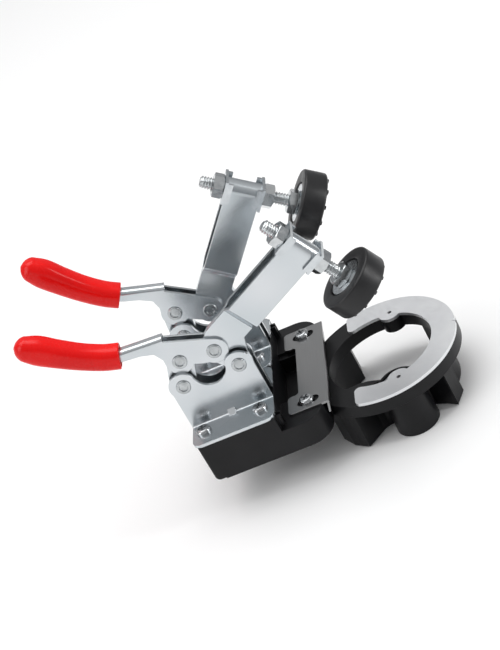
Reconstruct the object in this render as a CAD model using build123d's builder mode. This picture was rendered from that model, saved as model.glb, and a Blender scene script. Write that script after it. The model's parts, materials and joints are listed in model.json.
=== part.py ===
"""Clamp-on hinge boring jig: a ring body, a drill-side skirt, an edge fence and two toggle clamps.

The origin is the centre of the ring on the top face of the aluminium work plate.
+X points from the clamps towards the ring, +Y to the left clamp, +Z up, out of the work plate.
All sizes are in millimetres.
"""

import os
from math import acos, atan2, cos, degrees, hypot, radians, sin, tan

from build123d import *

os.makedirs("parts", exist_ok=True)

# ---- Driving sizes: ring and work plate -------------------------------------------------
ring_radius = 37.0            # outside of the ring and of the work plate
bore_radius = 25.8            # inside of the black ring
plate_bore_radius = 25.3      # inside of the work plate
plate_thickness = 1.5
ring_bottom = -7.8            # underside of the ring and of the block
skirt_bottom = -25.6          # underside of the skirt below the ring
skirt_inner_radius = 26.4
mark_x, mark_y = 7.0, 26.0    # the two marking holes of a 52 mm hinge pattern
mark_hole_radius = 1.0
mark_boss_radius = 5.5        # inward bumps of the plate round the marking holes
plate_end_x = -14.5           # where the two arms of the plate stop
plate_corner_radius = 2.5
notch_depth, notch_half_width = 2.1, 1.9
skirt_wall = 3.0              # the skirt between its four posts
post_front = (31.5, 46.5)     # angles of the two front posts, from the nose of the ring
post_radius, post_end_radius = 36.6, 33.8
post_rear = (119.5, 147.0)    # angles of the two rear posts
window_front = 43.4           # angles of the open left side, at the inside of the skirt
window_rear = 130.5
web_front, web_rear = 50.0, 122.0     # angles of the open right side, at the scalloped wall
web_thickness = 2.4           # scalloped wall that joins the tube to the right posts

# ---- Driving sizes: tube boss with its bush ---------------------------------------------
tube_x, tube_y = 5.7, -26.4
tube_radius = 10.4
tube_draft = 2.2              # the tube narrows upwards by this many degrees
tube_wall = 0.9
tube_bottom = -26.0
bush_bore_radius = 5.0
bush_top_gap = 1.0            # the bush stops this far under the work plate

# ---- Driving sizes: block and shelf -----------------------------------------------------
block_half_width = 40.0
block_rear_x = -86.3
block_top = 12.7
step_x = -48.4                # front wall of the high block, rear of the shelf
shelf_top = 5.0
shelf_front_x = -28.0
shelf_corner_radius = 11.0
pocket_half_width = 17.0
pocket_front_x = -31.0
pocket_floor = -4.5
ledge_half_width = 20.0
ledge_depth = 1.6
rib_width, rib_depth = 1.8, 2.2
rib_inset = 5.0               # from the block's side to the middle of each rib
block_edge_fillet = 2.4

# ---- Driving sizes: edge fence ----------------------------------------------------------
fence_thickness = 1.0
fence_front_x = -24.8
fence_rear_x = -44.3
fence_half_width = 31.8
flange_half_width = 30.6
flange_lean = 14.0            # the flange leans back by this many degrees
flange_floor_gap = 0.5        # gap between the flange and the ring
fence_notch_x = -38.9
fence_notch_half_width = 18.6
fence_screw_x, fence_screw_y = -35.0, 26.0
slot_length, slot_width = 10.5, 5.0
slot_centre_x = -34.6

# ---- Driving sizes: screws --------------------------------------------------------------
screw_radius = 2.0
screw_head_radius = 3.5
screw_head_height = 2.3
screw_length = 9.0
cross_width, cross_length, cross_depth = 0.9, 4.0, 1.3
thread_fit = 0.03             # radial gap between every screw or rivet and its hole

# ---- Driving sizes: toggle clamps -------------------------------------------------------
clamp_y = 20.1                # distance of each clamp's middle plane from the ring's axis
pivot_x, pivot_z = -54.25, 36.2
ground_length = 27.4          # arm pivot to link pivot
crank_length = 12.65          # arm pivot to handle pivot
link_length = 12.65
coupler_length = 16.3         # the two rivets of the handle
crank_offset = 96.0           # angle of the crank when the arm lies level
right_lift, left_lift = 28.0, 50.0

arm_thickness = 1.5
handle_thickness = 1.2
base_thickness = 1.5
layer_gap = 0.06              # play between neighbouring sheets at the pivots
leg_gap = 0.1                 # half the gap between the two legs of the arm at the pivots
spread_gap = 3.4              # half the gap between the legs where the spindle passes

arm_lower, arm_upper = 5.6, 21.0
joggle_start, joggle_end = 17.6, 20.9
joggle_radius = 1.4
spindle_reach = 61.5          # arm pivot to spindle, along the arm

lug_radius = 6.7
lug_window_radius = 8.0
lug_window_drop = 3.4
base_front, base_rear = 6.4, 6.2
flange_outer = 19.9           # clamp's middle plane to the edge of each flange
flange_bend = 0.9
flange_corner = 4.0
base_screw_x = (-28.0, -0.2)  # from the arm pivot
base_screw_out = 10.6
gusset_width, gusset_reach = 3.6, 2.6

rivet_radius = 2.0
rivet_head_radius = 3.4
rivet_head_height = 0.85
dimple_radius, dimple_depth = 2.1, 0.6

spindle_radius = 2.95
nut_flats, nut_height = 10.0, 4.8
head_height = 4.4
washer_thickness = 1.3
washer_tab = 2.2
spindle_top = 33.0            # above the arm's pivot line
head_top = -7.4
pad_radius = 15.4
pad_thickness = 10.6
pad_recess_radius, pad_recess_depth = 9.4, 1.7
dish_radius, dish_thickness = 8.6, 1.2

# ---- Derived levels ---------------------------------------------------------------------
ring_top = -plate_thickness
bush_radius = tube_radius - (ring_top - tube_bottom) * tan(radians(tube_draft)) - tube_wall
rib_y = block_half_width - rib_inset
flange_top = block_top + base_thickness
leg_outer = leg_gap + arm_thickness
handle_inner = leg_outer + layer_gap
handle_outer = handle_inner + handle_thickness
base_inner = handle_outer + layer_gap
base_outer = base_inner + base_thickness
spread_outer = spread_gap + arm_thickness
pivot_drop = pivot_z - block_top      # arm pivot above the block's top


def save(builder, name):
    """Label one finished sub-part and write it as its own file."""
    builder.part.label = name
    export_step(builder.part, f"parts/{name}.step")


def polar(radius, angle):
    """A point at a distance and an angle from the ring's axis."""
    return (radius * cos(radians(angle)), radius * sin(radians(angle)))


def side_plane(x, y, z, angle=0.0):
    """A plane seen from the right: local x forward, local y up, normal to the right (-Y)."""
    turn = radians(angle)
    return Plane(origin=(x, y, z), x_dir=(cos(turn), 0, sin(turn)), z_dir=(0, -1, 0))


def linkage(lift):
    """Handle pivot, link-to-handle pivot, link angle and handle angle for one arm lift."""
    crank = radians(crank_offset + lift)
    hx, hz = crank_length * cos(crank), crank_length * sin(crank)
    dx, dz = hx + ground_length, hz
    span = hypot(dx, dz)
    inner = (link_length**2 + span**2 - coupler_length**2) / (2 * link_length * span)
    link_angle = atan2(dz, dx) + acos(inner)
    lx = -ground_length + link_length * cos(link_angle)
    lz = link_length * sin(link_angle)
    return (hx, hz), (lx, lz), degrees(link_angle), degrees(atan2(hz - lz, hx - lx))


# ---- Body: block, shelf, ring, skirt and tube in one casting ------------------------------
mark_points = [(mark_x, mark_y), (mark_x, -mark_y)]
fence_screw_points = [(fence_screw_x, fence_screw_y), (fence_screw_x, -fence_screw_y)]
base_screw_points = [
    (pivot_x + along, side * clamp_y + out)
    for side in (-1, 1)
    for along in base_screw_x
    for out in (-base_screw_out, base_screw_out)
]
block_length = step_x - block_rear_x
shelf_length = shelf_front_x - block_rear_x

rear_middle = (post_rear[0] + post_rear[1]) / 2

with BuildPart() as body:
    with BuildSketch(Plane.XY.offset(ring_bottom)):
        with Locations((block_rear_x + block_length / 2, 0)):
            Rectangle(block_length, 2 * block_half_width)
    extrude(amount=block_top - ring_bottom)
    rear_bottom = body.edges().filter_by(Axis.Y).sort_by(Axis.X)[:2].sort_by(Axis.Z)[0]
    fillet(rear_bottom, block_edge_fillet)
    fillet(body.edges().filter_by(Axis.Z).group_by(Axis.X)[0], block_edge_fillet / 2)

    with BuildSketch(Plane.XY.offset(ring_bottom)) as shelf_outline:
        with Locations((block_rear_x + shelf_length / 2 + block_edge_fillet, 0)):
            Rectangle(shelf_length - 2 * block_edge_fillet, 2 * block_half_width)
        fillet(shelf_outline.vertices().group_by(Axis.X)[-1], shelf_corner_radius)
    extrude(amount=shelf_top - ring_bottom)

    with BuildSketch(Plane.XY.offset(ring_bottom)):
        Circle(ring_radius)
    extrude(amount=ring_top - ring_bottom)

    with BuildSketch(Plane.XY.offset(skirt_bottom)):
        Circle(skirt_inner_radius + skirt_wall)
        for way in (1, -1):
            Polygon(
                (0, 0),
                polar(post_radius, way * (post_front[1] + 2)),
                polar(post_radius, way * post_front[1]),
                polar(post_end_radius, way * post_front[0]),
                align=None,
            )
            Polygon(
                (0, 0),
                polar(ring_radius, way * (post_rear[0] - 2)),
                polar(ring_radius, way * post_rear[0]),
                polar(ring_radius, way * (post_rear[0] + rear_middle) / 2),
                polar(ring_radius, way * rear_middle),
                polar(ring_radius - 1, way * post_rear[1]),
                align=None,
            )
        Circle(skirt_inner_radius, mode=Mode.SUBTRACT)
        for way, inner_rear, inner_front in ((1, window_rear, window_front), (-1, web_rear, web_front)):
            rear_in = polar(skirt_inner_radius - 1, way * inner_rear)
            rear_out = polar(ring_radius + 1, way * post_rear[0])
            front_out = polar(ring_radius + 1, way * post_front[1])
            front_in = polar(skirt_inner_radius - 1, way * inner_front)
            Polygon(
                rear_in, polar(31, way * (inner_rear + post_rear[0]) / 2), rear_out,
                polar(2 * ring_radius, way * post_rear[0]), polar(2 * ring_radius, way * post_front[1]),
                front_out, polar(31, way * (inner_front + post_front[1]) / 2), front_in,
                align=None, mode=Mode.SUBTRACT,
            )
    extrude(amount=ring_bottom - skirt_bottom)

    with BuildSketch(Plane.XY.offset(ring_bottom - 1)):
        Circle(bore_radius)
    extrude(amount=block_top - ring_bottom, mode=Mode.SUBTRACT)
    with BuildSketch(Plane.XY.offset(ring_bottom)):
        with Locations((mark_x, mark_y)):
            Circle(mark_boss_radius)
    extrude(amount=ring_top - ring_bottom)
    with BuildSketch(Plane.XY.offset(skirt_bottom)):
        outer = [
            polar(ring_radius, -post_rear[0]), polar(31.6, -117), polar(26.2, -113.5),
            polar(23.6, -108.5), (tube_x - 6, tube_y + 5), (tube_x + 6, tube_y + 5),
            polar(25.2, -52.5), polar(30.5, -48.5), polar(ring_radius, -post_front[1]),
        ]
        inner = [
            polar(ring_radius - web_thickness, -post_front[1] + 3), polar(27.5, -44),
            polar(24.0, -50), polar(23.0, -58), (tube_x, tube_y + 5),
            polar(21.1, -95), polar(20.2, -105), polar(20.0, -113), polar(21.4, -125),
            polar(26.8, -137), polar(ring_radius - web_thickness, -post_rear[0] - 4),
        ]
        Polygon(*outer, *inner, align=None)
        Circle(ring_radius, mode=Mode.INTERSECT)
    extrude(amount=ring_top - skirt_bottom)
    with BuildSketch(Plane.XY.offset(tube_bottom)):
        with Locations((tube_x, tube_y)):
            Circle(tube_radius)
    extrude(amount=ring_top - tube_bottom, taper=tube_draft)
    with BuildSketch(Plane.XY.offset(ring_top)):
        with Locations((tube_x, tube_y)):
            Circle(bush_radius)
    extrude(amount=tube_bottom - ring_top + tube_wall, mode=Mode.SUBTRACT)
    with BuildSketch(Plane.XY.offset(tube_bottom)):
        with Locations((tube_x, tube_y)):
            Circle(bush_bore_radius)
    extrude(amount=2 * tube_wall, mode=Mode.SUBTRACT)
    with BuildSketch(Plane.XY.offset(ring_bottom)):
        with Locations((mark_x, mark_y)):
            Circle(mark_hole_radius)
    extrude(amount=ring_top - ring_bottom, mode=Mode.SUBTRACT)

    pocket_length = pocket_front_x - step_x
    with BuildSketch(Plane.XY.offset(shelf_top)) as ledge:
        with Locations((step_x + pocket_length / 2, 0)):
            Rectangle(pocket_length, 2 * ledge_half_width)
        fillet(ledge.vertices().group_by(Axis.X)[-1], 2)
    extrude(amount=-ledge_depth, mode=Mode.SUBTRACT)
    with BuildSketch(Plane.XY.offset(shelf_top)) as pocket:
        with Locations((step_x + pocket_length / 2, 0)):
            Rectangle(pocket_length, 2 * pocket_half_width)
        fillet(pocket.vertices().group_by(Axis.X)[-1], 2)
    extrude(amount=pocket_floor - shelf_top, mode=Mode.SUBTRACT)

    with BuildSketch(Plane.XY.offset(shelf_top)):
        for place in (-rib_y, rib_y):
            for step in (-1.5 * rib_width, 1.5 * rib_width):
                with Locations((step_x + rib_depth / 2, place + step / 2)):
                    Rectangle(rib_depth, rib_width / 2)
    extrude(amount=block_top - shelf_top - 1)

    with Locations(*[(x, y, block_top) for x, y in base_screw_points]):
        Hole(screw_radius + thread_fit, depth=screw_length)
    with Locations(*[(x, y, shelf_top) for x, y in fence_screw_points]):
        Hole(screw_radius + thread_fit, depth=screw_length)
save(body, "body")

# ---- Guide bush in the tube ---------------------------------------------------------------
with BuildPart() as guide_bush:
    with BuildSketch(Plane.XY.offset(tube_bottom + tube_wall)):
        with Locations((tube_x, tube_y)):
            Circle(bush_radius)
            Circle(bush_bore_radius, mode=Mode.SUBTRACT)
    extrude(amount=ring_top - bush_top_gap - tube_bottom - tube_wall)
    chamfer(guide_bush.edges().filter_by(GeomType.CIRCLE).group_by(Axis.Z)[-1], 0.5)
save(guide_bush, "guide_bush")

# ---- Work plate: horseshoe of sheet aluminium on the ring -----------------------------------
with BuildPart() as work_plate:
    with BuildSketch(Plane.XY.offset(ring_top)) as horseshoe:
        Circle(ring_radius)
        Circle(plate_bore_radius, mode=Mode.SUBTRACT)
        with Locations((plate_end_x - ring_radius, 0)):
            Rectangle(2 * ring_radius, 2 * ring_radius, mode=Mode.SUBTRACT)
        fillet(horseshoe.vertices().group_by(Axis.X)[0], plate_corner_radius)
        with Locations(*mark_points):
            Circle(mark_boss_radius)
            Circle(mark_hole_radius, mode=Mode.SUBTRACT)
        notch_tip = ring_radius - notch_depth
        outside = ring_radius + 1
        Polygon(
            (notch_tip, 0), (outside, notch_half_width), (outside, -notch_half_width),
            align=None, mode=Mode.SUBTRACT,
        )
    extrude(amount=plate_thickness)
save(work_plate, "work_plate")

# ---- Edge fence: bent steel plate in two slots --------------------------------------------
fence_top = shelf_top + fence_thickness
flange_height = fence_top - ring_top - flange_floor_gap
with BuildPart() as fence_plate:
    with BuildSketch(Plane.XY.offset(shelf_top)) as top_leaf:
        with Locations(((fence_front_x + fence_rear_x) / 2, 0)):
            Rectangle(fence_front_x - fence_rear_x, 2 * fence_half_width)
        with Locations(((fence_rear_x + fence_notch_x) / 2, 0)):
            Rectangle(fence_notch_x - fence_rear_x, 2 * fence_notch_half_width, mode=Mode.SUBTRACT)
        fillet(top_leaf.vertices().group_by(Axis.X)[0], 2.0)
        fillet(top_leaf.vertices().group_by(Axis.X)[2], 1.8)
        with Locations((slot_centre_x, fence_screw_y), (slot_centre_x, -fence_screw_y)):
            SlotOverall(slot_length, slot_width, mode=Mode.SUBTRACT)
    extrude(amount=fence_thickness)
    with BuildSketch(side_plane(fence_front_x, 0, fence_top)):
        lean = flange_height * sin(radians(flange_lean))
        wall = fence_thickness / cos(radians(flange_lean))
        Polygon(
            (0, 0), (-lean, -flange_height), (-lean - wall, -flange_height), (-wall, 0),
            align=None,
        )
    extrude(amount=flange_half_width, both=True)
save(fence_plate, "fence_plate")


# ---- Pan-head cross-recess screws ---------------------------------------------------------
def pan_screws(points, seat, turns):
    """A group of pan-head screws that stand on one seat height, each turned its own way."""
    with BuildPart() as group:
        with BuildSketch(Plane.XY.offset(seat)):
            with Locations(*points):
                Circle(screw_head_radius)
        extrude(amount=screw_head_height)
        domes = group.edges().filter_by(GeomType.CIRCLE).group_by(Axis.Z)[-1]
        fillet(domes, 0.7 * screw_head_height)
        with BuildSketch(Plane.XY.offset(seat)):
            with Locations(*points):
                Circle(screw_radius)
        extrude(amount=-screw_length + thread_fit * 10)
        for point, turn in zip(points, turns):
            with BuildSketch(Plane.XY.offset(seat + screw_head_height)):
                with Locations(Location((*point, 0), (0, 0, turn))):
                    Rectangle(cross_length, cross_width)
                    Rectangle(cross_width, cross_length)
            extrude(amount=-cross_depth, taper=12, mode=Mode.SUBTRACT)
    return group


fence_screws = pan_screws(fence_screw_points, fence_top, (20, 65))
save(fence_screws, "fence_screws")


# ---- Toggle clamp pieces ------------------------------------------------------------------
def base_plate(y, side):
    """One side sheet of a clamp's base; side is -1 for the right sheet, +1 for the left."""
    inner, outer = side * base_inner, side * base_outer
    plane = side_plane(pivot_x, y + inner, pivot_z)
    rear = -ground_length - base_rear
    length = base_front - rear
    with BuildPart() as sheet:
        with BuildSketch(plane):
            Polygon(
                (rear, -pivot_drop), (base_front, -pivot_drop), (base_front, 0), (rear, 0),
                align=None,
            )
            with Locations((0, 0), (-ground_length, 0)):
                Circle(lug_radius)
            with Locations((-ground_length / 2, lug_window_drop)):
                Circle(lug_window_radius, mode=Mode.SUBTRACT)
            with Locations((0, 0), (-ground_length, 0)):
                Circle(rivet_radius + thread_fit, mode=Mode.SUBTRACT)
        extrude(amount=-side * base_thickness)
        with BuildSketch(Plane.XY.offset(block_top)) as foot:
            with Locations((pivot_x + rear + length / 2, y + side * (base_inner + flange_outer) / 2)):
                Rectangle(length, flange_outer - base_inner)
            fillet(foot.vertices().sort_by(Axis.Y)[-2:] if side > 0 else
                   foot.vertices().sort_by(Axis.Y)[:2], flange_corner)
        extrude(amount=base_thickness)
        bend_out = sheet.edges().filter_by(Axis.X).filter_by(
            lambda e: abs(e.center().Y - y - outer) < 0.01 and abs(e.center().Z - flange_top) < 0.01)
        fillet(bend_out, flange_bend)
        bend_in = sheet.edges().filter_by(Axis.X).filter_by(
            lambda e: abs(e.center().Y - y - inner) < 0.01 and abs(e.center().Z - block_top) < 0.01)
        fillet(bend_in, base_thickness)
        middle = pivot_x + rear + length / 2
        with BuildSketch(Plane(origin=(middle, y, 0), x_dir=(0, 1, 0), z_dir=(1, 0, 0))):
            Polygon(
                (outer - side * 0.3, flange_top - 0.3),
                (outer + side * gusset_reach, flange_top - 0.3),
                (outer - side * 0.3, flange_top + gusset_reach),
                align=None,
            )
        extrude(amount=gusset_width / 2, both=True)
        holes = [(x, yy) for x, yy in base_screw_points if side * (yy - y) > 0 and abs(yy - y) < 15]
        with Locations(*[(x, yy, flange_top) for x, yy in holes]):
            Hole(screw_radius + 2 * thread_fit, depth=base_thickness)
    return sheet


def rivet(plane, half_length, hollow=None):
    """One riveted pin on a side plane; hollow is the half gap left open in its middle."""
    with BuildPart() as pin:
        for flip in (-1, 1):
            start = hollow or 0
            with BuildSketch(plane.offset(flip * start)):
                Circle(rivet_radius)
            extrude(amount=flip * (half_length - start))
            with BuildSketch(plane.offset(flip * half_length)):
                Circle(rivet_head_radius)
            extrude(amount=flip * rivet_head_height)
        top = half_length + rivet_head_height
        rims = pin.edges().filter_by(GeomType.CIRCLE).filter_by(
            lambda e: abs(abs(e.center().Y - plane.origin.Y) - top) < 0.01)
        fillet(rims, 0.6 * rivet_head_height)
        for flip in (-1, 1):
            with BuildSketch(plane.offset(flip * top)):
                Circle(dimple_radius)
            extrude(amount=-flip * dimple_depth, taper=25, mode=Mode.SUBTRACT)
    return pin.part


def arm(y, lift):
    """The U-shaped arm: two joggled legs joined by a round bend at the spindle."""
    side = side_plane(pivot_x, y, pivot_z, lift)
    turn = radians(lift)
    along, up = (cos(turn), 0, sin(turn)), (-sin(turn), 0, cos(turn))
    plan = Plane(origin=(pivot_x, y, pivot_z), x_dir=along, z_dir=up)
    crank = radians(crank_offset)
    hx, hz = crank_length * cos(crank), crank_length * sin(crank)
    tail, tip = 5.4, spindle_reach + spread_outer + 2
    slope = spread_gap - leg_gap
    with BuildPart() as bar:
        with BuildSketch(plan.offset(-2 * tail)):
            with BuildLine():
                for way in (1, -1):
                    FilletPolyline(
                        (-2 * tail, way * leg_outer), (joggle_start, way * leg_outer),
                        (joggle_end, way * spread_outer), (spindle_reach, way * spread_outer),
                        radius=joggle_radius,
                    )
                Line((-2 * tail, leg_outer), (-2 * tail, -leg_outer))
                ThreePointArc(
                    (spindle_reach, spread_outer), (spindle_reach + spread_outer, 0),
                    (spindle_reach, -spread_outer),
                )
            make_face()
            inset = arm_thickness * (slope / hypot(slope, joggle_end - joggle_start)) * 0.5
            with BuildLine():
                for way in (1, -1):
                    FilletPolyline(
                        (-3 * tail, way * leg_gap), (joggle_start + inset, way * leg_gap),
                        (joggle_end + inset, way * spread_gap), (spindle_reach, way * spread_gap),
                        radius=joggle_radius,
                    )
                Line((-3 * tail, leg_gap), (-3 * tail, -leg_gap))
                ThreePointArc(
                    (spindle_reach, spread_gap), (spindle_reach + spread_gap, 0),
                    (spindle_reach, -spread_gap),
                )
            make_face(mode=Mode.SUBTRACT)
        extrude(amount=2 * tail + arm_upper + tail)
        with BuildSketch(side):
            Polygon(
                (hx - tail, hz - 4), (hx - tail, hz + 2), (hx - 2.5, hz + 6.2), (4.5, arm_upper),
                (tip, arm_upper), (tip, arm_lower), (11.5, arm_lower), (tail - 0.6, -1.8), (0, -tail),
                (-tail + 0.6, -1.8),
                align=None,
            )
            with Locations((0, 0), (hx, hz)):
                Circle(tail)
            with Locations((0, 0), (hx, hz)):
                Circle(rivet_radius + 2 * thread_fit, mode=Mode.SUBTRACT)
        extrude(amount=2 * spread_outer, both=True, mode=Mode.INTERSECT)
    return bar


def link(y, angle):
    """The U-channel link between the base's rear rivet and the handle."""
    plane = side_plane(pivot_x - ground_length, y, pivot_z, angle)
    half = lug_radius - 0.5
    with BuildPart() as channel:
        with BuildSketch(plane):
            Polygon((0, -half), (link_length, -half), (link_length, half), (0, half), align=None)
            with Locations((0, 0), (link_length, 0)):
                Circle(half)
        extrude(amount=leg_outer - layer_gap, both=True)
        with BuildSketch(plane):
            Polygon(
                (-2 * half, -half + handle_thickness),
                (link_length + 2 * half, -half + handle_thickness),
                (link_length + 2 * half, 2 * half), (-2 * half, 2 * half),
                align=None,
            )
        extrude(amount=leg_outer - layer_gap - handle_thickness, both=True, mode=Mode.SUBTRACT)
        with BuildSketch(plane):
            with Locations((0, 0), (link_length, 0)):
                Circle(rivet_radius + 2 * thread_fit)
        extrude(amount=leg_outer, both=True, mode=Mode.SUBTRACT)
    return channel


# Grip centre line and sections in the handle's own axes: origin at the handle pivot,
# x towards the arm, y up.  Each row is (x, y, turn, half width, half height).
grip_rows = [
    (-40.4, 10.7, 172.0, 5.4, 5.7),
    (-47.6, 12.6, 162.0, 5.5, 5.7),
    (-56.5, 16.5, 152.0, 5.7, 5.9),
    (-65.6, 21.8, 148.0, 5.9, 6.3),
    (-74.0, 27.2, 149.0, 6.1, 7.0),
    (-79.9, 30.3, 154.0, 5.2, 5.7),
    (-83.1, 31.6, 158.0, 2.4, 2.6),
]
tang_half_height = 2.6
ridge_radius = 1.9


def handle_outline():
    """Side outline of the handle stamping: two round eyes, the neck and the tang."""
    ex = -coupler_length
    tang = [(x, y) for x, y, turn, wide, high in grip_rows[1:5]]
    upper = [(x, y + tang_half_height) for x, y in tang]
    lower = [(x, y - tang_half_height) for x, y in reversed(tang)]
    Polygon(
        (0.5, 6.6), (-19.6, 12.2), (-19.6, 14.5), (-29.5, 14.2), (-39.0, 14.0),
        *upper, *lower,
        (-39.0, 9.0), (-31.5, 8.9), (-25.6, 7.6), (-22.9, 3.4), (ex - 6.3, 0.0),
        (ex, -6.2), (ex + 5.8, -3.4), (-6.4, -4.6), (0, -5.6),
        align=None,
    )
    with Locations((0, 0), (ex, 0)):
        Circle(6.4)


def handle(plane):
    """The handle stamping: two cheeks, with a web over the neck and the tang."""
    with BuildPart() as lever:
        with BuildSketch(plane):
            handle_outline()
        extrude(amount=handle_outer, both=True)
        ridge = [(-19.6, 14.5), (-29.5, 14.2), (-39.0, 14.0)]
        ridge += [(x, y + tang_half_height) for x, y, t, w, h in grip_rows[1:5]]
        middles = [((a[0] + b[0]) / 2, (a[1] + b[1]) / 2) for a, b in zip(ridge, ridge[1:])]

        def on_ridge(edge):
            """True for the long outer edges of the web."""
            spot = plane.to_local_coords(edge.center())
            near = min(hypot(spot.X - x, spot.Y - y) for x, y in middles)
            return near < 0.2 and abs(abs(spot.Z) - handle_outer) < 0.01

        fillet(lever.edges().filter_by(on_ridge), ridge_radius)
        tang = [(x, y - handle_thickness) for x, y in ridge[3:]]
        with BuildSketch(plane):
            Polygon(
                (10, 20), (-19.6, 20), (-19.6, 14.5 - handle_thickness),
                (-29.5, 14.2 - handle_thickness), (-39.0, 14.0 - handle_thickness),
                *tang, (-90, tang[-1][1] - 1), (-90, -20), (10, -20),
                align=None,
            )
        extrude(amount=handle_inner, both=True, mode=Mode.SUBTRACT)
        with BuildSketch(plane):
            with Locations((0, 0), (-coupler_length, 0)):
                Circle(rivet_radius + thread_fit)
        extrude(amount=2 * handle_outer, both=True, mode=Mode.SUBTRACT)
    return lever


def grip(plane):
    """The dipped vinyl grip, hollow where the handle's tang is."""
    with BuildPart() as core:
        with BuildSketch(plane):
            handle_outline()
        extrude(amount=handle_outer, both=True)
    with BuildPart() as sleeve:
        for x, y, turn, wide, high in grip_rows:
            centre = plane.from_local_coords((x, y, 0))
            angle = radians(turn)
            direction = plane.x_dir * cos(angle) + plane.y_dir * sin(angle)
            section = Plane(origin=centre, x_dir=plane.z_dir, z_dir=direction)
            with BuildSketch(section):
                Ellipse(wide, high)
        loft()
        add(core.part, mode=Mode.SUBTRACT)
    return sleeve


def spindle(plane):
    """The clamping screw: threaded shank and hexagon head above the pad."""
    with BuildPart() as screw:
        with BuildSketch(plane.offset(head_top - head_height - dish_thickness - 2)):
            Circle(spindle_radius)
        extrude(amount=spindle_top - head_top + head_height + dish_thickness + 2)
        chamfer(screw.faces().sort_by(Axis(plane.origin, plane.z_dir))[-1].edges(), 0.6)
        with BuildSketch(plane.offset(head_top - head_height)):
            RegularPolygon(nut_flats / 2, 6, major_radius=False)
        extrude(amount=head_height)
    return screw


def spindle_nuts(plane):
    """The two hexagon nuts that clamp the washers on the arm."""
    levels = (arm_upper + washer_thickness, arm_lower - washer_thickness - nut_height)
    with BuildPart() as nuts:
        for level in levels:
            with BuildSketch(plane.offset(level)):
                RegularPolygon(nut_flats / 2, 6, major_radius=False, rotation=12)
                Circle(spindle_radius + 2 * thread_fit, mode=Mode.SUBTRACT)
            extrude(amount=nut_height)
    return nuts


def flanged_washers(plane):
    """The two saddle washers whose tabs hold the legs of the arm together."""
    half = spread_outer + washer_thickness + 0.1
    with BuildPart() as washers:
        for seat, way in ((arm_upper, 1), (arm_lower, -1)):
            with BuildSketch(plane.offset(seat)):
                Rectangle(2 * 5.6, 2 * half)
                Circle(spindle_radius + 0.3, mode=Mode.SUBTRACT)
            extrude(amount=way * washer_thickness)
            with BuildSketch(plane.offset(seat)):
                for tab in (-1, 1):
                    with Locations((0, tab * (half - washer_thickness / 2))):
                        Rectangle(2 * 5.0, washer_thickness)
            extrude(amount=-way * washer_tab)
    return washers


def pad_dish(plane):
    """The steel dish washer between the screw's head and the rubber."""
    with BuildPart() as dish:
        with BuildSketch(plane.offset(head_top - head_height - dish_thickness)):
            Circle(dish_radius)
            Circle(spindle_radius + thread_fit, mode=Mode.SUBTRACT)
        extrude(amount=dish_thickness)
    return dish


def pad(plane):
    """The rubber pad, with the recess for the dish washer and the screw's end."""
    dish_floor = head_top - head_height - dish_thickness
    with BuildPart() as rubber:
        with BuildSketch(plane.offset(dish_floor + pad_recess_depth - pad_thickness)):
            Circle(pad_radius)
        extrude(amount=pad_thickness)
        fillet(rubber.edges().filter_by(GeomType.CIRCLE), 1.2)
        with BuildSketch(plane.offset(dish_floor)):
            Circle(pad_recess_radius)
        extrude(amount=pad_recess_depth + 1, mode=Mode.SUBTRACT)
        with BuildSketch(plane.offset(dish_floor)):
            Circle(spindle_radius + thread_fit)
        extrude(amount=-2, mode=Mode.SUBTRACT)
    return rubber


for name, y, lift in (("right", -clamp_y, right_lift), ("left", clamp_y, left_lift)):
    (hx, hz), (lx, lz), link_angle, handle_angle = linkage(lift)
    base_seat = side_plane(pivot_x, y, pivot_z)
    handle_plane = side_plane(pivot_x + hx, y, pivot_z + hz, handle_angle)
    turn = radians(lift)
    forward = Vector(cos(turn), 0, sin(turn))
    upward = Vector(-sin(turn), 0, cos(turn))
    spindle_foot = Vector(pivot_x, y, pivot_z) + forward * spindle_reach
    spindle_plane = Plane(origin=spindle_foot, x_dir=forward, z_dir=upward)

    save(base_plate(y, -1), f"{name}_base_right_sheet")
    save(base_plate(y, 1), f"{name}_base_left_sheet")
    points = [point for point in base_screw_points if abs(point[1] - y) < 15]
    save(pan_screws(points, flange_top, (10, 40, 75, 25)), f"{name}_base_screws")

    with BuildPart() as base_rivets:
        add(rivet(base_seat, base_outer))
        add(rivet(side_plane(pivot_x - ground_length, y, pivot_z), base_outer))
    save(base_rivets, f"{name}_base_rivets")

    save(arm(y, lift), f"{name}_arm")
    save(link(y, link_angle), f"{name}_link")
    save(handle(handle_plane), f"{name}_handle")
    save(grip(handle_plane), f"{name}_grip")

    with BuildPart() as handle_rivets:
        add(rivet(handle_plane, handle_outer))
        add(rivet(side_plane(pivot_x + lx, y, pivot_z + lz), handle_outer, handle_inner))
    save(handle_rivets, f"{name}_handle_rivets")

    save(spindle(spindle_plane), f"{name}_spindle")
    save(spindle_nuts(spindle_plane), f"{name}_spindle_nuts")
    save(flanged_washers(spindle_plane), f"{name}_flanged_washers")
    save(pad_dish(spindle_plane), f"{name}_pad_dish")
    save(pad(spindle_plane), f"{name}_pad")
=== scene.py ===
import json
from math import acos, atan2, cos, pi, radians, sin, tan

import bmesh
import bpy
from mathutils import Matrix, Vector


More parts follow.
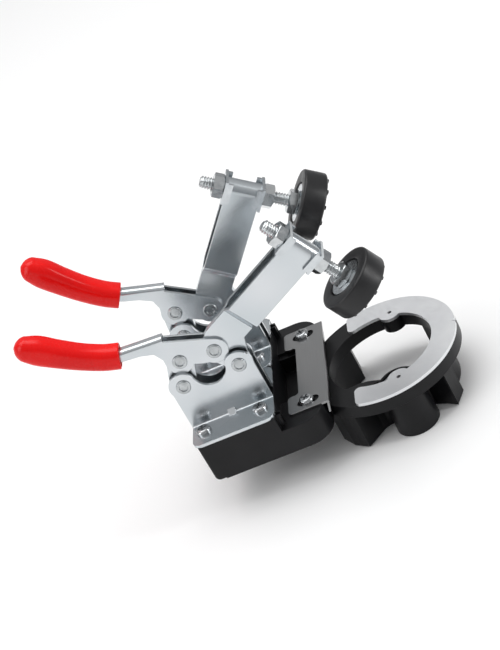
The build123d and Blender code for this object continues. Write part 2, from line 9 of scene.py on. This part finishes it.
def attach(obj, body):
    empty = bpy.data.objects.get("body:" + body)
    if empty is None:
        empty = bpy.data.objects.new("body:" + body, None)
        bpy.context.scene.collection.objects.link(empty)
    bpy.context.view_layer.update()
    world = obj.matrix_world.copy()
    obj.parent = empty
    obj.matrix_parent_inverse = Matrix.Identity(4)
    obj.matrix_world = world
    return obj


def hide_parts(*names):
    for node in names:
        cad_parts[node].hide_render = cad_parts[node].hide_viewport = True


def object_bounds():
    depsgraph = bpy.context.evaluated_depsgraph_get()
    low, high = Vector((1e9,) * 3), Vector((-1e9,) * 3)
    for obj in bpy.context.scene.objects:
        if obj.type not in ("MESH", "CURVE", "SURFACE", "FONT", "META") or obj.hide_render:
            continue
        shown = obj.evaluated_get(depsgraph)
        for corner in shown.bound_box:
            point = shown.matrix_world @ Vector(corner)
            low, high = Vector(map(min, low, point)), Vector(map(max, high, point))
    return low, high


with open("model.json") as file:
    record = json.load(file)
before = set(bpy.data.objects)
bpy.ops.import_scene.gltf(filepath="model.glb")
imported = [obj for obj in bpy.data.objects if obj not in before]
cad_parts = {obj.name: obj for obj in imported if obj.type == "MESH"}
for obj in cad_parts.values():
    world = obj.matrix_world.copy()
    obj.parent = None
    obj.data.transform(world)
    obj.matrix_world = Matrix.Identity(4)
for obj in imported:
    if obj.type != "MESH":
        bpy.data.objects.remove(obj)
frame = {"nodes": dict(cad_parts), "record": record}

cad_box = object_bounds()
MM = 0.001
record = frame["record"]
joints = {joint["name"]: joint for joint in record["behaviour"]["joints"]}


# ---- Small helpers ----------------------------------------------------------------------
def mesh_piece(name, verts, faces, smooth=True):
    """A new mesh object from vertices in metres and faces."""
    mesh = bpy.data.meshes.new(name)
    mesh.from_pydata([tuple(v) for v in verts], [], faces)
    mesh.validate()
    work = bmesh.new()
    work.from_mesh(mesh)
    bmesh.ops.recalc_face_normals(work, faces=work.faces)
    work.to_mesh(mesh)
    work.free()
    for polygon in mesh.polygons:
        polygon.use_smooth = smooth
    piece = bpy.data.objects.new(name, mesh)
    bpy.context.scene.collection.objects.link(piece)
    return piece


def sharp_by_angle(piece, angle=35.0):
    """Mark edges steeper than the angle as sharp, so that flat faces stay crisp."""
    work = bmesh.new()
    work.from_mesh(piece.data)
    for edge in work.edges:
        if len(edge.link_faces) == 2 and edge.calc_face_angle(0) > radians(angle):
            edge.smooth = False
    work.to_mesh(piece.data)
    work.free()


def rings_to_faces(count, around, closed_start=True, closed_end=True):
    """Faces of a tube made of rings of vertices, with optional end caps."""
    faces = []
    for i in range(count - 1):
        for j in range(around):
            k = (j + 1) % around
            low, high = i * around, (i + 1) * around
            faces.append((low + j, low + k, high + k, high + j))
    if closed_start:
        faces.append(tuple(range(around)))
    if closed_end:
        faces.append(tuple(range((count - 1) * around, count * around)))
    return faces


# ---- Procedural materials ---------------------------------------------------------------
class Shader:
    """A Principled material with short calls for the nodes that this scene uses."""

    def __init__(self, name, colour, metallic=0.0, roughness=0.4, **extra):
        self.material = bpy.data.materials.new(name)
        self.material.use_nodes = True
        self.tree = self.material.node_tree
        self.shader = self.tree.nodes["Principled BSDF"]
        self.shader.inputs["Base Color"].default_value = (*colour, 1)
        self.shader.inputs["Metallic"].default_value = metallic
        self.shader.inputs["Roughness"].default_value = roughness
        for key, value in extra.items():
            self.shader.inputs[key.replace("_", " ")].default_value = value
        self.coords = self.tree.nodes.new("ShaderNodeTexCoord").outputs["Object"]
        self.height = None

    def stretched(self, scale, turn=(0, 0, 0)):
        """Object coordinates turned and scaled, for marks that run one way."""
        node = self.tree.nodes.new("ShaderNodeMapping")
        node.inputs["Scale"].default_value = scale
        node.inputs["Rotation"].default_value = turn
        self.tree.links.new(self.coords, node.inputs["Vector"])
        return node.outputs["Vector"]

    def noise(self, scale, detail=3.0, vector=None, rough=0.55):
        """A noise value from 0 to 1."""
        node = self.tree.nodes.new("ShaderNodeTexNoise")
        node.inputs["Scale"].default_value = scale
        node.inputs["Detail"].default_value = detail
        node.inputs["Roughness"].default_value = rough
        self.tree.links.new(vector or self.coords, node.inputs["Vector"])
        return node.outputs["Fac"]

    def spread(self, value, low, high, start=0.3, end=0.7):
        """A value mapped from start..end onto low..high."""
        node = self.tree.nodes.new("ShaderNodeMapRange")
        node.inputs["From Min"].default_value = start
        node.inputs["From Max"].default_value = end
        node.inputs["To Min"].default_value = low
        node.inputs["To Max"].default_value = high
        self.tree.links.new(value, node.inputs["Value"])
        return node.outputs["Result"]

    def roughen(self, value, low, high, start=0.3, end=0.7):
        """Roughness that varies over the surface."""
        self.tree.links.new(self.spread(value, low, high, start, end), self.shader.inputs["Roughness"])

    def tint(self, value, dark, light, start=0.3, end=0.7):
        """Base colour that varies between two colours."""
        ramp = self.tree.nodes.new("ShaderNodeValToRGB")
        ramp.color_ramp.elements[0].position = start
        ramp.color_ramp.elements[0].color = (*dark, 1)
        ramp.color_ramp.elements[1].position = end
        ramp.color_ramp.elements[1].color = (*light, 1)
        self.tree.links.new(value, ramp.inputs["Fac"])
        self.tree.links.new(ramp.outputs["Color"], self.shader.inputs["Base Color"])

    def soften_edges(self, radius):
        """Round the shading of sharp edges, so that they catch the light."""
        node = self.tree.nodes.new("ShaderNodeBevel")
        node.samples = 4
        node.inputs["Radius"].default_value = radius
        self.height = node.outputs["Normal"]
        self.tree.links.new(self.height, self.shader.inputs["Normal"])

    def bump(self, value, distance, strength=0.5):
        """Surface relief of the given depth in metres."""
        node = self.tree.nodes.new("ShaderNodeBump")
        node.inputs["Strength"].default_value = strength
        node.inputs["Distance"].default_value = distance
        self.tree.links.new(value, node.inputs["Height"])
        if self.height is not None:
            self.tree.links.new(self.height, node.inputs["Normal"])
        self.height = node.outputs["Normal"]
        self.tree.links.new(self.height, self.shader.inputs["Normal"])


def black_casting():
    """Semi-gloss black coat with a faint orange peel."""
    look = Shader("black_casting", (0.006, 0.006, 0.007), 0.0, 0.34)
    look.shader.inputs["Specular IOR Level"].default_value = 0.22
    look.soften_edges(0.0005)
    look.tint(look.noise(60), (0.005, 0.005, 0.006), (0.009, 0.009, 0.010))
    look.roughen(look.noise(140), 0.3, 0.4)
    look.bump(look.noise(1100, 2.0), 0.00003, 0.2)
    return look.material


def zinc(name="bright_zinc", dark=(0.52, 0.565, 0.59), light=(0.66, 0.68, 0.70), rough=(0.2, 0.27)):
    """Bright zinc plate: cool grey, softly clouded, with fine rolling marks."""
    look = Shader(name, light, 1.0, sum(rough) / 2)
    look.soften_edges(0.0004)
    look.tint(look.noise(28, 1.0), dark, light, 0.3, 0.7)
    look.roughen(look.noise(60, 2.0), rough[0], rough[1])
    look.bump(look.noise(1.0, 2.0, look.stretched((200, 1800, 1800))), 0.000006, 0.08)
    return look.material


def aluminium():
    """Satin aluminium sheet with a very fine grain."""
    look = Shader("satin_aluminium", (0.76, 0.77, 0.78), 1.0, 0.38)
    look.tint(look.noise(40, 3.0), (0.70, 0.71, 0.73), (0.80, 0.81, 0.82))
    look.roughen(look.noise(500, 3.0), 0.34, 0.46)
    look.bump(look.noise(2600, 2.0), 0.00002, 0.2)
    return look.material


def fence_steel():
    """Darker brushed sheet, its brush lines along Y."""
    look = Shader("brushed_fence_steel", (0.30, 0.31, 0.32), 1.0, 0.3)
    lines = look.noise(1.0, 4.0, look.stretched((3200, 55, 3200)), 0.7)
    look.soften_edges(0.0003)
    look.tint(lines, (0.285, 0.287, 0.29), (0.31, 0.312, 0.315))
    look.roughen(lines, 0.28, 0.33)
    look.bump(lines, 0.000005, 0.08)
    return look.material


def plated(name, dark, light, low=0.18, high=0.3):
    """Small plated hardware."""
    look = Shader(name, light, 1.0, low)
    look.tint(look.noise(320, 3.0), dark, light)
    look.roughen(look.noise(700, 3.0), low, high)
    look.bump(look.noise(1500, 2.0), 0.00002, 0.15)
    return look.material


def vinyl():
    """Dipped red vinyl: glossy, a little milky under the light."""
    look = Shader("red_vinyl", (0.78, 0.008, 0.006), 0.0, 0.3)
    look.shader.inputs["Specular IOR Level"].default_value = 0.15
    look.shader.inputs["Coat Weight"].default_value = 0.22
    look.shader.inputs["Coat Roughness"].default_value = 0.2
    look.tint(look.noise(45, 3.0), (0.68, 0.002, 0.002), (0.80, 0.004, 0.003))
    look.roughen(look.noise(160, 3.0), 0.24, 0.3)
    look.bump(look.noise(90, 1.0), 0.0001, 0.06)
    look.bump(look.noise(1400, 2.0), 0.00002, 0.08)
    return look.material


def rubber():
    """Moulded black rubber with a fine dusty grain."""
    look = Shader("black_rubber", (0.008, 0.008, 0.009), 0.0, 0.4)
    look.shader.inputs["Specular IOR Level"].default_value = 0.42
    look.tint(look.noise(90, 4.0), (0.006, 0.006, 0.007), (0.012, 0.012, 0.013))
    look.roughen(look.noise(260, 4.0), 0.32, 0.44)
    look.bump(look.noise(1800, 3.0), 0.00004, 0.3)
    return look.material


def turned_steel():
    """Turned steel with fine rings round the vertical axis of the bush."""
    look = Shader("turned_steel", (0.62, 0.63, 0.65), 1.0, 0.25)
    look.tint(look.noise(120, 3.0), (0.52, 0.53, 0.55), (0.70, 0.71, 0.73))
    rings = look.noise(1.0, 3.0, look.stretched((40, 40, 5200)))
    look.roughen(rings, 0.2, 0.36)
    look.bump(rings, 0.00003, 0.25)
    return look.material


looks = {
    "black_casting": black_casting(),
    "satin_aluminium": aluminium(),
    "turned_steel": turned_steel(),
    "brushed_fence_steel": fence_steel(),
    "screw_steel": plated("screw_steel", (0.32, 0.33, 0.34), (0.52, 0.53, 0.54)),
    "red_vinyl": vinyl(),
    "black_rubber": rubber(),
    "rivet_steel": plated("rivet_steel", (0.36, 0.38, 0.39), (0.52, 0.54, 0.55)),
    "fastener_zinc": plated("fastener_zinc", (0.50, 0.52, 0.53), (0.64, 0.66, 0.67), 0.14, 0.24),
    "washer_zinc": plated("washer_zinc", (0.54, 0.57, 0.59), (0.66, 0.69, 0.71), 0.16, 0.28),
    "bright_zinc": zinc(),
}
for subpart in record["subparts"]:
    node = frame["nodes"][subpart["node"]]
    node.data.materials.clear()
    node.data.materials.append(looks[subpart["material_slot"]])


def finish_piece(piece, slot, body, *nodes):
    """Give a new piece the material of its slot, attach it to its body, and hide the CAD nodes that it
    stands for.
    """
    piece.data.materials.append(looks[slot])
    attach(piece, body)
    if nodes:
        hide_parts(*nodes)


# ---- Pieces with finer shapes than the CAD ----------------------------------------------
class Seat:
    """A local frame on the object: an origin in metres and two directions; y is the third."""

    def __init__(self, origin, forward, upward):
        self.origin = Vector(origin)
        self.forward = Vector(forward).normalized()
        self.upward = Vector(upward).normalized()
        self.side = self.upward.cross(self.forward)

    def at(self, x, y, z):
        """A point given in millimetres along forward, side and upward."""
        return self.origin + MM * (self.forward * x + self.side * y + self.upward * z)


def lathe(name, seat, profile, around=64):
    """A solid of revolution about the seat's upward axis; profile is (radius, height) in mm."""
    verts = []
    for radius, height in profile:
        for j in range(around):
            a = 2 * pi * j / around
            verts.append(seat.at(radius * cos(a), radius * sin(a), height))
    return mesh_piece(name, verts, rings_to_faces(len(profile), around))


def arc_points(centre, radius, start, end, count=6):
    """Points of an arc in a lathe profile, angles in degrees."""
    turns = [radians(start + (end - start) * i / (count - 1)) for i in range(count)]
    return [(centre[0] + radius * cos(t), centre[1] + radius * sin(t)) for t in turns]


THREAD_RADIUS, THREAD_ROOT, THREAD_PITCH = 2.95, 2.3, 1.25
THREAD_FLAT = 0.12            # share of the pitch that is flat, at the crest and at the root
POINT_INSET, POINT_SLOPE = 0.35, 1.2
NUT_BORE, BORE_CHAMFER_WIDTH, BORE_CHAMFER = 2.96, 0.5, 0.6
HEX_FACE_SHARE = 0.485        # radius of a hexagon's flat face, as a share of its width
HEX_CHAMFER_ANGLE = 30


def hex_radius(angle, flats):
    """Distance from the axis to the side of a hexagon at an angle."""
    sector = (angle + pi / 6) % (pi / 3) - pi / 6
    return flats / 2 / cos(sector)


def hexagon(name, seat, low, height, flats, bore=0.0, turn=0.0, chamfers=(True, True)):
    """A chamfered hexagon nut, or a hexagon head when the bore is 0."""
    around = 72
    face_radius = HEX_FACE_SHARE * flats
    slope = tan(radians(HEX_CHAMFER_ANGLE))
    angles = [2 * pi * j / around for j in range(around)]
    outline = [hex_radius(a, flats) for a in angles]
    rings = []
    if bore:
        rings += [(bore, BORE_CHAMFER), (bore + BORE_CHAMFER_WIDTH, 0.0)]
    rings_low = [(min(face_radius, r), 0.0) for r in outline]
    rise = [max(0.0, r - face_radius) * slope for r in outline]
    bottom = [(r, up if chamfers[0] else 0.0) for r, up in zip(outline, rise)]
    top = [(r, height - (up if chamfers[1] else 0.0)) for r, up in zip(outline, rise)]
    verts = []
    count = 0

    def ring(points):
        nonlocal count
        for a, (r, z) in zip(angles, points):
            verts.append(seat.at(r * cos(a + turn), r * sin(a + turn), low + z))
        count += 1

    for r, z in rings:
        ring([(r, z)] * around)
    ring(rings_low)
    ring(bottom)
    ring(top)
    ring([(r, height) for r, z in rings_low])
    for r, z in reversed(rings):
        ring([(r, height - z)] * around)
    faces = rings_to_faces(count, around, not bore, not bore)
    if bore:
        last = (count - 1) * around
        faces += [(j, (j + 1) % around, last + (j + 1) % around, last + j) for j in range(around)]
    piece = mesh_piece(name, verts, faces)
    sharp_by_angle(piece, 24)
    return piece


def threaded_rod(name, seat, low, high):
    """A rod with a real helical thread and a pointed run-out at its top."""
    around, steps = 28, 8
    rows = int((high - low) / THREAD_PITCH * steps)
    depth = THREAD_RADIUS - THREAD_ROOT
    verts = []
    for i in range(rows + 1):
        z = low + (high - low) * i / rows
        limit = min(THREAD_RADIUS, THREAD_ROOT - POINT_INSET + (high - z) * POINT_SLOPE)
        for j in range(around):
            phase = ((z / THREAD_PITCH) - j / around) % 1.0
            crest = 1 - abs(2 * phase - 1)
            flank = (crest - THREAD_FLAT) / (1 - 2 * THREAD_FLAT)
            shape = min(1.0, max(0.0, flank))
            r = min(THREAD_ROOT + depth * shape, limit)
            a = 2 * pi * j / around
            verts.append(seat.at(r * cos(a), r * sin(a), z))
    return mesh_piece(name, verts, rings_to_faces(rows + 1, around))


def rounded_section(angle, wide, high, power=2.8):
    """A point on a rounded rectangle, across and up."""
    c, s = cos(angle), sin(angle)
    return (
        wide * (abs(c) ** (2 / power)) * (1 if c >= 0 else -1),
        high * (abs(s) ** (2 / power)) * (1 if s >= 0 else -1),
    )


def spline_rows(rows, parts):
    """Rows of numbers run through by a smooth curve."""
    out = []
    for i in range(len(rows) - 1):
        a, b = rows[max(i - 1, 0)], rows[i]
        c, d = rows[i + 1], rows[min(i + 2, len(rows) - 1)]
        for k in range(parts):
            t = k / parts
            out.append(tuple(
                0.5 * (2 * q + (r - p) * t + (2 * p - 5 * q + 4 * r - s) * t * t
                       + (3 * q - p - 3 * r + s) * t ** 3)
                for p, q, r, s in zip(a, b, c, d)))
    out.append(rows[-1])
    return out


# The grip's centre line in the handle's own frame: forward, up, half width and half height.
GRIP = (
    (-40.4, 10.7, 5.3, 5.6),
    (-47.6, 12.5, 5.4, 5.6),
    (-56.5, 16.3, 5.5, 5.7),
    (-65.6, 21.4, 5.6, 6.1),
    (-73.4, 26.3, 5.6, 6.5),
    (-78.6, 29.2, 4.9, 5.5),
)
GRIP_TIP = (-83.0, 31.2)


def grip_piece(name, seat):
    """The dipped grip: a rounded section swept along the handle, with a lip and a domed tip."""
    around = 64
    rows = spline_rows(GRIP, 6)
    tip_rows = 8
    x0, z0, wide0, high0 = rows[-1]
    for k in range(1, tip_rows + 1):
        t = k / tip_rows
        fall = (1 - t**1.7) ** 0.58 if k < tip_rows else 0.06
        x, z = x0 + (GRIP_TIP[0] - x0) * t, z0 + (GRIP_TIP[1] - z0) * t
        rows.append((x, z, wide0 * fall, high0 * fall))
    verts = []

    def ring(x, z, direction, wide, high):
        normal = Vector((-direction.y, direction.x))
        for j in range(around):
            across, rise = rounded_section(2 * pi * j / around, wide, high)
            verts.append(seat.at(x + normal.x * rise, across, z + normal.y * rise))

    mouth = Vector((rows[0][0] - rows[1][0], rows[0][1] - rows[1][1])).normalized()
    lips = ((2.5, 0.74), (0.35, 0.78), (0.0, 0.86), (0.0, 0.94), (0.3, 1.0))
    for depth, share in lips:
        ring(rows[0][0] - mouth.x * depth, rows[0][1] - mouth.y * depth, -mouth,
             rows[0][2] * share, rows[0][3] * share)
    for i in range(1, len(rows)):
        ahead = rows[min(i + 1, len(rows) - 1)]
        behind = rows[i - 1]
        direction = Vector((ahead[0] - behind[0], ahead[1] - behind[1])).normalized()
        ring(rows[i][0], rows[i][1], direction, rows[i][2], rows[i][3])
    piece = mesh_piece(name, verts, rings_to_faces(len(verts) // around, around))
    return piece


PAD_RECESS, PAD_RECESS_RADIUS = 1.7, 9.4
PAD_ROUNDING = 1.1


def pad_piece(name, seat, top, thickness, radius):
    """The rubber pad: rounded rims and a deep recess for the dish; its treads are a separate piece."""
    low = top - thickness
    profile = [(0.05, low), (radius - 4.6, low)]
    profile += arc_points((radius - PAD_ROUNDING, low + PAD_ROUNDING), PAD_ROUNDING, -90, 0)
    profile += arc_points((radius - PAD_ROUNDING, top - PAD_ROUNDING), PAD_ROUNDING, 0, 90)
    floor = top - PAD_RECESS
    profile += arc_points((PAD_RECESS_RADIUS + 0.6, top - 0.6), 0.6, 90, 180)
    profile += [(PAD_RECESS_RADIUS, floor + 0.3), (PAD_RECESS_RADIUS - 0.3, floor)]
    profile += [(0.05, floor)]
    return lathe(name, seat, profile, 96)


def tread_pieces(name, seat, low, radius):
    """Short raised bars round the rim of the pad's face."""
    verts, faces = [], []
    count = 12
    for k in range(count):
        middle = 2 * pi * k / count
        half = radians(4.2)
        base = len(verts)
        for height, shrink in ((0.6, 1.0), (-0.45, 0.78), (-0.6, 0.55)):
            for r in (radius - 1.0, radius - 4.2):
                for side in ((-half, half) if r > radius - 2 else (half, -half)):
                    centre_r = radius - 2.6
                    rr = centre_r + (r - centre_r) * (0.9 + 0.1 * shrink)
                    a = middle + side * shrink
                    verts.append(seat.at(rr * cos(a), rr * sin(a), low + height))
        for level in range(2):
            for j in range(4):
                k = (j + 1) % 4
                start = base + 4 * level
                faces.append((start + j, start + k, start + 4 + k, start + 4 + j))
        faces.append((base, base + 1, base + 2, base + 3))
        faces.append((base + 8, base + 9, base + 10, base + 11))
    return mesh_piece(name, verts, faces, smooth=False)


ARM_UPPER, ARM_LOWER = 21.0, 5.6
WASHER, NUT, FLATS = 1.3, 4.8, 10.0
HEAD_TOP, HEAD, DISH = -7.4, 4.4, 1.2
SPINDLE_TOP = 33.0
PAD_RADIUS, PAD_THICKNESS = 15.4, 10.6
HANDLE_LINK, HANDLE_SPAN = 12.65, 16.3

for name in ("right", "left"):
    reach = joints[f"{name}_reach_slide"]
    rise = joints[f"{name}_height_slide"]
    seat = Seat(reach["pos_m"], reach["axis"], rise["axis"])
    dish_floor = HEAD_TOP - HEAD - DISH

    rod = threaded_rod(f"{name}_threaded_rod", seat, dish_floor - 1.5, SPINDLE_TOP)
    finish_piece(rod, "fastener_zinc", f"{name}_spindle_body", f"{name}_spindle")
    head = hexagon(f"{name}_hex_head", seat, HEAD_TOP - HEAD, HEAD, FLATS, turn=radians(14))
    finish_piece(head, "fastener_zinc", f"{name}_spindle_body")
    upper_at = ARM_UPPER + WASHER
    upper = hexagon(f"{name}_upper_nut", seat, upper_at, NUT, FLATS, NUT_BORE, radians(12))
    finish_piece(upper, "fastener_zinc", f"{name}_carriage", f"{name}_spindle_nuts")
    lower_at = ARM_LOWER - WASHER - NUT
    lower = hexagon(f"{name}_lower_nut", seat, lower_at, NUT, FLATS, NUT_BORE, radians(40))
    finish_piece(lower, "fastener_zinc", f"{name}_carriage")

    pad_top = dish_floor + PAD_RECESS
    rubber_pad = pad_piece(f"{name}_rubber_pad", seat, pad_top, PAD_THICKNESS, PAD_RADIUS)
    sharp_by_angle(rubber_pad, 40)
    finish_piece(rubber_pad, "black_rubber", f"{name}_spindle_body", f"{name}_pad")
    treads = tread_pieces(f"{name}_pad_treads", seat, pad_top - PAD_THICKNESS, PAD_RADIUS)
    finish_piece(treads, "black_rubber", f"{name}_spindle_body")

    eye = Vector(joints[f"{name}_handle_hinge"]["pos_m"])
    root = Vector(joints[f"{name}_link_hinge"]["pos_m"])
    across = eye - root
    span = across.length / MM
    cosine = (HANDLE_LINK**2 + span**2 - HANDLE_SPAN**2) / (2 * HANDLE_LINK * span)
    link_angle = atan2(across.z, across.x) + acos(cosine)
    other = root + HANDLE_LINK * MM * Vector((cos(link_angle), 0, sin(link_angle)))
    along = (eye - other).normalized()
    handle_seat = Seat(eye, along, (-along.z, 0, along.x))
    grip = grip_piece(f"{name}_vinyl_grip", handle_seat)
    finish_piece(grip, "red_vinyl", f"{name}_handle_body", f"{name}_grip")


# ---- Camera, floor and light ------------------------------------------------------------
CAMERA_LENS = 111.59
CAMERA_PLACE = (0.15422, -0.75729, 0.49935)
CAMERA_RIGHT = (0.9028, -0.0213, -0.4295)
CAMERA_BACK = (0.2217, -0.8328, 0.5072)

camera_data = bpy.data.cameras.new("camera")
camera_data.lens = CAMERA_LENS
camera_data.sensor_width = 36
camera_data.sensor_fit = "AUTO"
camera = bpy.data.objects.new("camera", camera_data)
bpy.context.scene.collection.objects.link(camera)
right = Vector(CAMERA_RIGHT)
back = Vector(CAMERA_BACK)
up = back.cross(right)
turn = Matrix((right, up, back)).transposed().to_4x4()
camera.matrix_world = Matrix.Translation(CAMERA_PLACE) @ turn
bpy.context.scene.camera = camera

FLOOR_HALF = 3.0
floor_z = cad_box[0].z - 0.0002
corners = [(x * FLOOR_HALF, y * FLOOR_HALF, floor_z) for x, y in ((-1, -1), (1, -1), (1, 1), (-1, 1))]
floor = mesh_piece("floor", corners, [(0, 1, 2, 3)])
pale = Shader("pale_floor", (0.92, 0.92, 0.92), 0.0, 0.7)
floor.data.materials.append(pale.material)


def softbox(name, place, aim, size, power):
    """A square area light at a place, facing a point."""
    data = bpy.data.lights.new(name, "AREA")
    data.shape = "RECTANGLE"
    data.size = size[0]
    data.size_y = size[1]
    data.energy = power
    light = bpy.data.objects.new(name, data)
    bpy.context.scene.collection.objects.link(light)
    light.location = place
    light.rotation_euler = (Vector(aim) - Vector(place)).to_track_quat("-Z", "Y").to_euler()
    return light


centre = (-0.03, 0.0, 0.03)
softbox("top_box", (-0.15, 0.25, 1.1), centre, (1.3, 0.9), 9)
softbox("left_box", (-1.1, -0.5, 0.55), centre, (0.6, 0.9), 4)
softbox("right_box", (1.05, -0.2, 0.3), centre, (0.2, 0.9), 5)

world = bpy.data.worlds.new("studio")
bpy.context.scene.world = world
world.use_nodes = True
sky = world.node_tree.nodes["Background"]
sky.inputs["Strength"].default_value = 0.6
ramp = world.node_tree.nodes.new("ShaderNodeValToRGB")
split = world.node_tree.nodes.new("ShaderNodeSeparateXYZ")
place = world.node_tree.nodes.new("ShaderNodeTexCoord")
world.node_tree.links.new(place.outputs["Generated"], split.inputs[0])
world.node_tree.links.new(split.outputs["Z"], ramp.inputs["Fac"])
world.node_tree.links.new(ramp.outputs["Color"], sky.inputs["Color"])
ramp.color_ramp.elements[0].position = 0.0
ramp.color_ramp.elements[0].color = (0.45, 0.46, 0.48, 1)
ramp.color_ramp.elements[1].position = 0.75
ramp.color_ramp.elements[1].color = (1, 1, 1, 1)
bpy.context.scene.view_settings.view_transform = "Standard"
